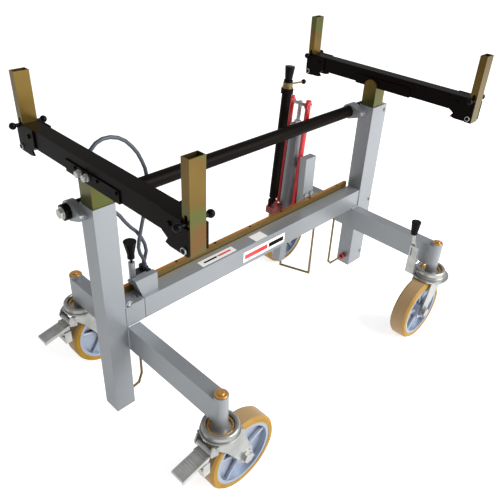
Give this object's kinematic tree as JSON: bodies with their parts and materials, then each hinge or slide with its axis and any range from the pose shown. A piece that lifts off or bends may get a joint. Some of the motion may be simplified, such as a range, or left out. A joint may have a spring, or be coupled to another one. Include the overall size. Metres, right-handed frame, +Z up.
{
  "type": "bulky load trolley",
  "caption": "Telescopic trolley for bulky loads: lifting masts with cross beams, folding stakes and swivel casters, joined by a beam, tie bar and pump.",
  "frame": {"origin": "centre of the trolley box on the floor plane under the wheels", "axes": "+X along the main beam from the braked casters towards the mast with the cover, +Y across to the side with the tie bar and pump, +Z up"},
  "size_m": [1.127, 0.691, 0.8665],
  "materials": {
    "silver_paint": "satin",
    "yellow_zinc": "satin",
    "black_paint": "glossy",
    "wheel_tread": "satin",
    "cast_wheel": "satin",
    "red_paint": "glossy",
    "hose_rubber": "matte",
    "bright_zinc": "glossy"
  },
  "bodies": {
    "fixed_frame": {"main_beam": "silver_paint", "right_mast": "silver_paint", "mast_cover": "silver_paint", "right_arm": "silver_paint", "index_guide": "silver_paint", "tie_rod": "black_paint", "pump_post": "silver_paint", "pump_tube": "silver_paint", "pump_base": "red_paint", "pump_pipe": "bright_zinc", "right_mast_pipe": "bright_zinc", "hydraulic_hose": "hose_rubber", "hose_fitting": "black_paint", "right_swivel_heads": "bright_zinc", "right_ram_barrel": "black_paint"},
    "sliding_frame": {"left_mast": "silver_paint", "left_arm": "silver_paint", "slide_tube": "silver_paint", "index_rack": "yellow_zinc", "tie_tube": "black_paint", "left_mast_pipe": "bright_zinc", "left_swivel_heads": "bright_zinc", "left_ram_barrel": "black_paint"},
    "plunger": {"index_plunger": "black_paint"},
    "lift_left": {"left_inner_mast": "yellow_zinc", "left_saddle": "black_paint", "left_cross_beam": "black_paint", "left_ram_rod": "bright_zinc"},
    "lift_right": {"right_inner_mast": "yellow_zinc", "right_saddle": "black_paint", "right_cross_beam": "black_paint", "right_ram_rod": "bright_zinc"},
    "stake_left_front": {"stake_left_front": "yellow_zinc"},
    "lock_pin_left_front": {"lock_pin_left_front": "black_paint"},
    "stake_left_back": {"stake_left_back": "yellow_zinc"},
    "lock_pin_left_back": {"lock_pin_left_back": "black_paint"},
    "stake_right_front": {"stake_right_front": "yellow_zinc"},
    "lock_pin_right_front": {"lock_pin_right_front": "black_paint"},
    "stake_right_back": {"stake_right_back": "yellow_zinc"},
    "lock_pin_right_back": {"lock_pin_right_back": "black_paint"},
    "caster_left_front": {"fork_left_front": "bright_zinc"},
    "wheel_left_front": {"tyre_left_front": "wheel_tread", "rim_left_front": "cast_wheel"},
    "caster_left_back": {"fork_left_back": "bright_zinc"},
    "wheel_left_back": {"tyre_left_back": "wheel_tread", "rim_left_back": "cast_wheel"},
    "caster_right_front": {"fork_right_front": "bright_zinc"},
    "wheel_right_front": {"tyre_right_front": "wheel_tread", "rim_right_front": "cast_wheel"},
    "caster_right_back": {"fork_right_back": "bright_zinc"},
    "wheel_right_back": {"tyre_right_back": "wheel_tread", "rim_right_back": "cast_wheel"},
    "pedal_front": {"brake_pedal_front": "bright_zinc"},
    "direction_lever_front": {"direction_lock_front": "bright_zinc"},
    "pedal_back": {"brake_pedal_back": "bright_zinc"},
    "direction_lever_back": {"direction_lock_back": "bright_zinc"},
    "handle": {"pump_handle": "black_paint"},
    "valve": {"valve_lever": "bright_zinc"},
    "pump_plunger": {"pump_rod": "bright_zinc", "pump_yoke": "red_paint"}
  },
  "joints": [
    {"name": "frame_slide", "type": "slide", "parent": "fixed_frame", "child": "sliding_frame", "axis": [-1, 0, 0], "range_m": [0, 0.536]},
    {"name": "index_plunger_slide", "type": "slide", "parent": "fixed_frame", "child": "plunger", "axis": [0, 0, 1], "range_m": [-0.012, 0]},
    {"name": "left_lift_slide", "type": "slide", "parent": "sliding_frame", "child": "lift_left", "axis": [0, 0, 1], "range_m": [0, 0.3]},
    {"name": "right_lift_slide", "type": "slide", "parent": "fixed_frame", "child": "lift_right", "axis": [0, 0, 1], "range_m": [0, 0.3]},
    {"name": "stake_left_front_hinge", "type": "hinge", "parent": "lift_left", "child": "stake_left_front", "pos_m": [-0.487, -0.2689, 0.7], "axis": [1, 0, 0], "range_deg": [0, 90]},
    {"name": "lock_pin_left_front_slide", "type": "slide", "parent": "stake_left_front", "child": "lock_pin_left_front", "axis": [0, 0, 1], "range_m": [0, 0.0115]},
    {"name": "stake_left_back_hinge", "type": "hinge", "parent": "lift_left", "child": "stake_left_back", "pos_m": [-0.487, 0.2999, 0.7], "axis": [-1, 0, 0], "range_deg": [0, 90]},
    {"name": "lock_pin_left_back_slide", "type": "slide", "parent": "stake_left_back", "child": "lock_pin_left_back", "axis": [0, 0, 1], "range_m": [0, 0.0115]},
    {"name": "stake_right_front_hinge", "type": "hinge", "parent": "lift_right", "child": "stake_right_front", "pos_m": [0.506, -0.2689, 0.7], "axis": [1, 0, 0], "range_deg": [0, 90]},
    {"name": "lock_pin_right_front_slide", "type": "slide", "parent": "stake_right_front", "child": "lock_pin_right_front", "axis": [0, 0, 1], "range_m": [0, 0.0115]},
    {"name": "stake_right_back_hinge", "type": "hinge", "parent": "lift_right", "child": "stake_right_back", "pos_m": [0.506, 0.2999, 0.7], "axis": [-1, 0, 0], "range_deg": [0, 90]},
    {"name": "lock_pin_right_back_slide", "type": "slide", "parent": "stake_right_back", "child": "lock_pin_right_back", "axis": [0, 0, 1], "range_m": [0, 0.0115]},
    {"name": "swivel_left_front", "type": "hinge", "parent": "sliding_frame", "child": "caster_left_front", "pos_m": [-0.4375, -0.2885, 0.205], "axis": [0, 0, 1], "continuous": true},
    {"name": "wheel_spin_left_front", "type": "hinge", "parent": "caster_left_front", "child": "wheel_left_front", "pos_m": [-0.3835, -0.2885, 0.1], "axis": [0, 1, 0], "continuous": true},
    {"name": "swivel_left_back", "type": "hinge", "parent": "sliding_frame", "child": "caster_left_back", "pos_m": [-0.4375, 0.2885, 0.205], "axis": [0, 0, 1], "continuous": true},
    {"name": "wheel_spin_left_back", "type": "hinge", "parent": "caster_left_back", "child": "wheel_left_back", "pos_m": [-0.3835, 0.2885, 0.1], "axis": [0, 1, 0], "continuous": true},
    {"name": "swivel_right_front", "type": "hinge", "parent": "fixed_frame", "child": "caster_right_front", "pos_m": [0.4565, -0.2885, 0.205], "axis": [0, 0, 1], "continuous": true},
    {"name": "wheel_spin_right_front", "type": "hinge", "parent": "caster_right_front", "child": "wheel_right_front", "pos_m": [0.4025, -0.2885, 0.1], "axis": [0, 1, 0], "continuous": true},
    {"name": "swivel_right_back", "type": "hinge", "parent": "fixed_frame", "child": "caster_right_back", "pos_m": [0.4565, 0.2885, 0.205], "axis": [0, 0, 1], "continuous": true},
    {"name": "wheel_spin_right_back", "type": "hinge", "parent": "caster_right_back", "child": "wheel_right_back", "pos_m": [0.4025, 0.2885, 0.1], "axis": [0, 1, 0], "continuous": true},
    {"name": "brake_pedal_front_hinge", "type": "hinge", "parent": "caster_left_front", "child": "pedal_front", "pos_m": [-0.4815, -0.2885, 0.185], "axis": [0, -1, 0], "range_deg": [0, 4]},
    {"name": "direction_lock_front_hinge", "type": "hinge", "parent": "fixed_frame", "child": "direction_lever_front", "pos_m": [0.4005, -0.2525, 0.2623], "axis": [1, 0, 0], "range_deg": [0, 50]},
    {"name": "brake_pedal_back_hinge", "type": "hinge", "parent": "caster_left_back", "child": "pedal_back", "pos_m": [-0.4815, 0.2885, 0.185], "axis": [0, -1, 0], "range_deg": [0, 4]},
    {"name": "direction_lock_back_hinge", "type": "hinge", "parent": "fixed_frame", "child": "direction_lever_back", "pos_m": [0.4005, 0.2525, 0.2623], "axis": [-1, 0, 0], "range_deg": [0, 50]},
    {"name": "pump_handle_hinge", "type": "hinge", "parent": "fixed_frame", "child": "handle", "pos_m": [0.20217, 0.1675, 0.36378], "axis": [0, -1, 0], "range_deg": [0, 45]},
    {"name": "valve_lever_hinge", "type": "hinge", "parent": "handle", "child": "valve", "pos_m": [0.2312, 0.1675, 0.73264], "axis": [0.0785, 0, 0.9969], "range_deg": [-45, 45]},
    {"name": "pump_plunger_slide", "type": "slide", "parent": "fixed_frame", "child": "pump_plunger", "axis": [0.0785, 0, 0.9969], "range_m": [0, 0.04]}
  ],
  "couplings": [
    {"joint": "right_lift_slide", "follows": "left_lift_slide", "ratio": 1}
  ]
}
